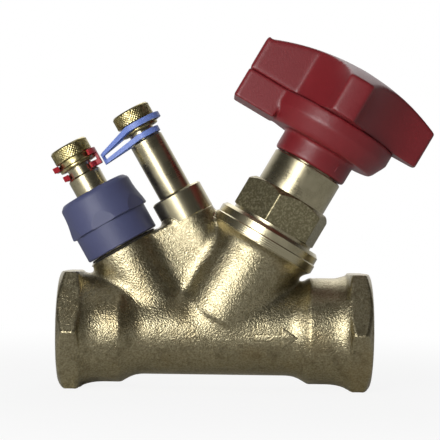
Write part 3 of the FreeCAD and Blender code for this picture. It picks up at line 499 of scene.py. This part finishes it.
# Outlines of (radius, level) in millimetres.
rimSteps = 128
rims = {
    "stem": [(15.5, 34.95), (19.5, 34.95), (19.97, 35.3), (19.97, 37.95), (19.62, 38.3), (15.5, 38.3)],
    "inlet": [(9.7, 32.9), (13.38, 32.9), (13.38, 33.12), (12.16, 34.36), (9.7, 34.36)],
    "outlet": [(5.2, 45.9), (9.1, 45.9), (9.47, 46.3), (9.47, 55.4), (8.93, 55.96), (5.2, 55.96)],
}


# Turned faces of the three bosses, as crisp rings over the casting.
def turnedRims():
    for axis, outline in rims.items():
        mesh = meshFrom("turnedRim", lathe(outline, rimSteps), axisMatrix(axis))
        finished("turned_rim_" + axis, mesh, "valve", "cast_brass", smooth=30)


# Radii and lengths in millimetres; the crest's two edges and the far root are shares of the pitch.
threadSettings = {"pitch": 2.309, "major": 16.68, "crest": 15.37, "turns": 6.6, "stepsPerTurn": 56,
                  "start": 0.6, "foot": 0.06, "crestEdges": (0.42, 0.58), "root": 0.94}


# Pipe thread in both ports: one ridge wound into each bore.
def portThreads():
    look = threadSettings
    pitch, turns, steps, inset = [look[key] for key in ("pitch", "turns", "stepsPerTurn", "start")]
    outline = [(look["major"], look["foot"]), (look["crest"], pitch * look["crestEdges"][0]),
               (look["crest"], pitch * look["crestEdges"][1]), (look["major"], pitch * look["root"])]
    for name, start, side in (("inlet_thread", inset, 1), ("outlet_thread", pipe["length"] - inset, -1)):
        shape = bmesh.new()
        face = shape.faces.new([shape.verts.new(((start + side * along) * mm, 0, radius * mm))
                                for radius, along in outline])
        bmesh.ops.spin(shape, geom=[face], cent=(0, 0, 0), axis=(1, 0, 0),
                       dvec=(side * pitch / steps * mm, 0, 0), angle=math.tau * turns,
                       steps=round(steps * turns), use_merge=False, use_duplicate=False)
        bmesh.ops.remove_doubles(shape, verts=shape.verts, dist=weld / 2)
        bmesh.ops.holes_fill(shape, edges=[edge for edge in shape.edges if edge.is_boundary])
        bmesh.ops.recalc_face_normals(shape, faces=shape.faces)
        finished(name, meshFrom(name, shape), "valve", "cast_brass", smooth=40)


# Millimetres: the arrow stands on the barrel's radius, and its root goes into the casting.
arrowSettings = {"place": (76.5, -1.5), "length": 15, "shaft": 2.2, "head": 7.6, "headLength": 6,
                 "rise": 0.85, "root": 1, "edge": 0.35, "barrel": 15.9, "slices": 3}


# Raised flow arrow, bent round the barrel.
def flowArrow():
    look = arrowSettings
    back, neck, tip = -look["length"] / 2, look["length"] / 2 - look["headLength"], look["length"] / 2
    half, wide = look["shaft"] / 2, look["head"] / 2
    outline = [(back, -half), (neck, -half), (neck, -wide), (tip, 0), (neck, wide), (neck, half),
               (back, half)]
    shape = bmesh.new()
    face = shape.faces.new([shape.verts.new((x, height, 0)) for x, height in outline])
    raised = bmesh.ops.extrude_face_region(shape, geom=[face])
    top = [item for item in raised["geom"] if isinstance(item, bmesh.types.BMVert)]
    bmesh.ops.translate(shape, verts=top, vec=(0, 0, look["rise"] + look["root"]))
    crest = [edge for edge in shape.edges if all(point in top for point in edge.verts)]
    bmesh.ops.bevel(shape, geom=crest, offset=look["edge"], segments=3, profile=0.5, affect="EDGES",
                    material=-1)
    for height in range(-look["slices"], look["slices"] + 1):
        bmesh.ops.bisect_plane(shape, geom=everythingIn(shape), plane_co=(0, height, 0), plane_no=(0, 1, 0),
                               dist=0.0001)
    x0, z0 = look["place"]
    for point in shape.verts:
        angle = (point.co.y + z0) / look["barrel"]
        radius = look["barrel"] - look["root"] + point.co.z
        point.co = Vector((x0 + point.co.x, -radius * math.cos(angle), radius * math.sin(angle))) * mm
    bmesh.ops.recalc_face_normals(shape, faces=shape.faces)
    finished("flow_arrow", meshFrom("flowArrow", shape), "valve", "cast_brass", smooth=50)


wheelRounding = {"wheel_cover": {"voxel": 0.55, "steps": 5}, "wheel_base": {"voxel": 0.5, "steps": 4}}


# Solid of the frame with its edges rounded by voxels in the piece's own axes.
def roundedNode(node):
    name = node + "_rounded"
    look, frameAxis = wheelRounding[node], axisMatrix("stem")
    shape = remeshed(name, meshFrom(name, mergedCopy(node, frameAxis)), look["voxel"])
    soften(shape, shape.verts, look["steps"])
    bmesh.ops.recalc_face_normals(shape, faces=shape.faces)
    finished(name, meshFrom(name, shape, frameAxis), "handwheel", "red_plastic", [node], 70)


bevelWidths = {"bonnet": 0.22, "bonnetUprights": 0.5, "blue_strap": 0.36, "red_strap": 0.32}
bevelAngles = {"flat": 0.6, "edge": 28, "upright": 45}


def bevelEdges(shape, width, sharpest, wanted):
    edges = [edge for edge in shape.edges if edge.is_manifold and wanted(edge)
             and edge.calc_face_angle(0) > math.radians(sharpest)]
    bmesh.ops.bevel(shape, geom=edges, offset=width * mm, offset_type="OFFSET", segments=2, profile=0.5,
                    affect="EDGES", clamp_overlap=True, material=-1)


def runsAlongStem(edge):
    along = axisMatrix("stem").to_3x3() @ Vector((0, 0, 1))
    return abs((edge.verts[1].co - edge.verts[0].co).normalized().dot(along)) > 0.999


# Solid of the frame with narrow bevels on its edges, and wider ones on a hexagon's corners.
def bevelledNode(name, node, slot, material=None, corners=None, bend=None):
    shape = mergedCopy(node)
    bmesh.ops.dissolve_limit(shape, angle_limit=math.radians(bevelAngles["flat"]), verts=shape.verts,
                             edges=shape.edges, use_dissolve_boundaries=False, delimit={"NORMAL"})
    if corners:
        bevelEdges(shape, corners, bevelAngles["upright"], runsAlongStem)
    bevelEdges(shape, bevelWidths[node], bevelAngles["edge"], lambda edge: True)
    bmesh.ops.remove_doubles(shape, verts=shape.verts, dist=weld)
    if bend:
        bend(shape)
    mesh = meshFrom(name, shape)
    thing = finished(name, mesh, "valve", slot, [node], 60, material)
    weights = thing.modifiers.new("weights", "WEIGHTED_NORMAL")
    weights.keep_sharp = True
    return thing


# Radii, and levels above the foot of the flange, in millimetres; the knurl is cells round and rows high.
capSettings = {"bore": 5.52, "flange": 6.9, "waist": 6.1, "head": 7.1, "round": 0.2, "flangeTop": 1.4,
               "waistFoot": 1.5, "waistTop": 3.3, "headFoot": 3.4, "headTop": 8.2, "ceiling": 6.08,
               "steps": 200, "rows": 17, "cells": 42, "firstRow": 0.55, "rowHeight": 0.21, "depth": 0.3,
               "sharpness": 0.6, "feet": {"outlet": 81.4, "inlet": 66.7}}


# Knurled cap on one of the nipples.
def knurledCap(side):
    look = capSettings
    foot, head, flange, small = look["feet"][side], look["head"], look["flange"], look["round"]
    low, high, brim = foot + look["headFoot"], foot + look["headTop"], foot + look["flangeTop"]
    outline = [(look["bore"], foot), (flange - small, foot), (flange, foot + small),
               (flange, brim - small), (flange - 0.25, brim), (look["waist"], foot + look["waistFoot"]),
               (look["waist"], foot + look["waistTop"]), (head - 0.35, low), (head - 0.05, low + 0.3)]
    rows = [low + look["firstRow"] + look["rowHeight"] * row for row in range(look["rows"])]
    outline += [(head, level) for level in rows]
    outline += [(head - 0.05, high - 0.6), (head - 0.55, high), (head - 1.1, high),
                (head - 1.4, high - 0.12), (0, high - 0.12), (0, foot + look["ceiling"]),
                (look["bore"], foot + look["ceiling"])]
    shape = lathe(outline, look["steps"])
    for point in shape.verts:
        level, radius = point.co.z / mm, math.hypot(point.co.x, point.co.y)
        if rows[0] - 0.01 < level < rows[-1] + 0.01 and radius > (head - 0.05) * mm:
            angle = math.atan2(point.co.y, point.co.x) * look["cells"] / 2
            climb = (level - rows[0]) * look["cells"] / (2 * head)
            groove = 1 - abs(math.sin(angle + climb) * math.sin(angle - climb)) ** look["sharpness"]
            shrink = 1 - groove * look["depth"] * mm / radius
            point.co.x *= shrink
            point.co.y *= shrink
    name = side + "_cap_knurled"
    mesh = meshFrom(name, shape, axisMatrix(side))
    finished(name, mesh, side + "_cap", "turned_brass", [side + "_cap"], 75, knurl)


# Millimetres: the strap hangs past a start off the nipple's axis, over a run, about its middle's level.
strapSettings = {"start": 6, "run": 10.5, "middle": 81.4, "pinch": 0.34, "droop": 2.6, "curve": 1.3}


# The blue strap's free end hangs a little and its two strands close up.
def droopStrap(shape):
    look = strapSettings
    into, back = axisMatrix("outlet").inverted(), axisMatrix("outlet")
    middle = look["middle"] * mm
    for point in shape.verts:
        local = into @ point.co
        share = min(max((-local.x / mm - look["start"]) / look["run"], 0), 1)
        fall = look["droop"] * mm * share ** look["curve"]
        local.z = middle + (local.z - middle) * (1 - look["pinch"] * share) - fall
        point.co = back @ local


# Radii and levels in millimetres, the flats' turn in degrees.
drainCapSettings = {"turn": -6, "flat": 14.0, "flats": 6, "steps": 144, "outline": [
    (10.78, 34.6), (13.2, 34.6), (13.55, 34.95), (13.55, 43.65), (13.6, 43.8), (14.45, 43.8),
    (14.75, 44.1), (14.52, 46), (14.1, 48), (13.75, 50), (13.55, 52), (13.45, 54.7), (13.2, 55.3),
    (12.2, 56.3), (11.7, 56.5), (6.4, 56.5), (6.4, 51.6), (10.78, 51.6)]}


# Drain cap with six flats cut on its shoulder.
def drainCap():
    look = drainCapSettings
    shape = lathe(look["outline"], look["steps"])
    for flat in range(look["flats"]):
        angle = math.radians(look["turn"]) + math.tau * (flat + 0.5) / look["flats"]
        outward = Vector((math.cos(angle), math.sin(angle), 0))
        cut = bmesh.ops.bisect_plane(shape, geom=everythingIn(shape), dist=weld / 4, clear_outer=True,
                                     plane_co=outward * look["flat"] * mm, plane_no=outward)
        rim = [item for item in cut["geom_cut"] if isinstance(item, bmesh.types.BMEdge)]
        bmesh.ops.holes_fill(shape, edges=rim)
    bmesh.ops.recalc_face_normals(shape, faces=shape.faces)
    mesh = meshFrom("drainCap", shape, axisMatrix("inlet"))
    finished("drain_cap_flats", mesh, "drain_cap", "dark_blue_plastic", ["drain_cap"], 9)


markSettings = {"turn": -52, "level": 71.4, "size": (0.5, 0.7, 2.8), "round": 0.12, "collar": 13.75}


# Small moulded mark on the handwheel's collar.
def collarMark():
    shape = bmesh.new()
    bmesh.ops.create_cube(shape, size=1)
    bmesh.ops.scale(shape, verts=shape.verts, vec=Vector(markSettings["size"]) * mm)
    bmesh.ops.bevel(shape, geom=list(shape.edges), offset=markSettings["round"] * mm, segments=2,
                    profile=0.5, affect="EDGES", material=-1)
    turn = Matrix.Rotation(math.radians(markSettings["turn"]), 4, "Z")
    shift = Matrix.Translation((markSettings["collar"] * mm, 0, markSettings["level"] * mm))
    mesh = meshFrom("collarMark", shape, axisMatrix("stem") @ turn @ shift)
    finished("collar_mark", mesh, "handwheel", "red_plastic", smooth=50)


digitSettings = {"height": 4.86, "depth": 0.12, "radius": 17.62, "count": 10, "zeroAt": 180,
                 "levels": {"tenths": 89.9, "turns": 95.2}}


# Digits 0 to 9 round both number rings.
def ringDigits(ring, body):
    look = digitSettings
    level, ringRadius = look["levels"][ring] * mm, look["radius"] * mm
    shape = bmesh.new()
    for digit in range(look["count"]):
        text = bpy.data.curves.new("digit", "FONT")
        text.body = str(digit)
        text.size = look["height"] * mm
        text.align_x = "CENTER"
        text.align_y = "CENTER"
        text.extrude = look["depth"] * mm
        thing = bpy.data.objects.new("digit", text)
        scene.collection.objects.link(thing)
        bpy.context.view_layer.update()
        mesh = bpy.data.meshes.new_from_object(thing.evaluated_get(bpy.context.evaluated_depsgraph_get()))
        bpy.data.objects.remove(thing)
        bpy.data.curves.remove(text)
        upright = Matrix.Rotation(math.pi / 2, 4, "Z") @ Matrix.Rotation(math.pi / 2, 4, "X")
        for point in mesh.vertices:
            local = upright @ point.co
            angle = local.y / ringRadius + math.radians(look["zeroAt"]) - math.tau * digit / look["count"]
            radius = ringRadius + local.x
            point.co = (radius * math.cos(angle), radius * math.sin(angle), level + local.z)
        shape.from_mesh(mesh)
        bpy.data.meshes.remove(mesh)
    bmesh.ops.remove_doubles(shape, verts=shape.verts, dist=weld / 2)
    name = ring + "_digits"
    finished(name, meshFrom(name, shape, axisMatrix("stem")), body, "black_rubber", smooth=30)


castBody()
turnedRims()
portThreads()
flowArrow()
for node in wheelRounding:
    roundedNode(node)
bevelledNode("bonnet_bevelled", "bonnet", "turned_brass", bonnetBrass, bevelWidths["bonnetUprights"])
drainCap()
bevelledNode("blue_strap_rounded", "blue_strap", "light_blue_plastic", bend=droopStrap)
bevelledNode("red_strap_rounded", "red_strap", "strap_red_plastic")
for side in capSettings["feet"]:
    knurledCap(side)
collarMark()
ringDigits("tenths", "valve")
ringDigits("turns", "number_ring")

# Metres, strengths, and the floor's paint. Past fadeStart the floor fades into the white background.
studio = {"floor": -0.0205, "floorSize": 6.0, "centre": 0.055, "aimHeight": 0.04, "speckScale": 30.0,
          "paint": (222, 222, 221), "speck": (228, 228, 227), "fadeStart": 0.19, "fadeWidth": 0.26,
          "nearGlow": 0.88, "ambient": 0.19, "room": 0.07, "wallTilt": 0.15, "wallStart": 0.45,
          "wallEnd": 0.95}


# Pale floor under a white background. Shiny faces see a dark room with a bright wall behind the valve.
def buildStudio():
    shape = bmesh.new()
    bmesh.ops.create_grid(shape, x_segments=1, y_segments=1, size=studio["floorSize"] / 2)
    bmesh.ops.translate(shape, verts=shape.verts, vec=(studio["centre"], 0, studio["floor"]))
    floor = bpy.data.objects.new("studioFloor", meshFrom("studioFloor", shape))
    scene.collection.objects.link(floor)
    pale = Finish("floorPaint", roughness=0.9, specular=0.0)
    speck = pale.noise(pale.place(), studio["speckScale"])
    pale.set(colour=pale.mix(speck, tone(*studio["paint"]), tone(*studio["speck"])))
    x, y, z = pale.parts(pale.place())
    away = (((x - studio["centre"]) ** 2 + y * y) ** 0.5).above(studio["fadeStart"], studio["fadeWidth"])
    glow = pale.node("Emission", inputs={0: (1, 1, 1, 1), 1: 1.0})
    seen = pale.node("LightPath", output="Is Camera Ray")
    near = studio["nearGlow"]
    share = pale.node("MixShader", inputs={0: seen * (near + (1 - near) * away),
                                           1: Wire(pale, pale.shader.outputs[0]), 2: glow})
    pale.feed(pale.find("OUTPUT_MATERIAL").inputs[0], share)
    floor.data.materials.append(pale.material)
    world = bpy.data.worlds.new("studioWorld")
    scene.world = world
    world.use_nodes = True
    sky = Shading(world.node_tree)
    light = sky.find("BACKGROUND")
    x, y, z = sky.parts(sky.node("TexCoord", output="Generated"))
    behind = sky.node("MapRange", inputs={0: y + z * studio["wallTilt"], 1: studio["wallStart"],
                                          2: studio["wallEnd"], 3: studio["room"], 4: 1.0})
    path = sky.node("LightPath").socket.node.outputs
    camera = Wire(sky, path["Is Camera Ray"])
    shiny = Wire(sky, path["Is Glossy Ray"]).larger(Wire(sky, path["Is Transmission Ray"]))
    strength = camera + (1 - camera) * (shiny * behind + (1 - shiny) * studio["ambient"])
    sky.feed(light.inputs[0], (1, 1, 1, 1))
    sky.feed(light.inputs[1], strength)


# Square lamps: places and sizes in metres, power in watts.
lamps = {
    "keyLamp": {"place": (-0.235, -0.55, 0.06), "size": 0.36, "power": 4.3},
    "topLamp": {"place": (0.1, -0.1, 0.75), "size": 0.5, "power": 0.35},
    "backLamp": {"place": (0.1, 0.5, 0.6), "size": 0.5, "power": 1.2},
}


def lightStudio():
    for name, lamp in lamps.items():
        data = bpy.data.lights.new(name, "AREA")
        data.energy = lamp["power"]
        data.size = lamp["size"]
        thing = bpy.data.objects.new(name, data)
        scene.collection.objects.link(thing)
        place = Vector(lamp["place"])
        aim = Vector((studio["centre"], 0, studio["aimHeight"])) - place
        thing.matrix_world = Matrix.Translation(place) @ aim.to_track_quat("-Z", "Y").to_matrix().to_4x4()


setCamera()
buildStudio()
lightStudio()
scene.view_settings.view_transform = "Standard"
print("camera, studio and lamps set")
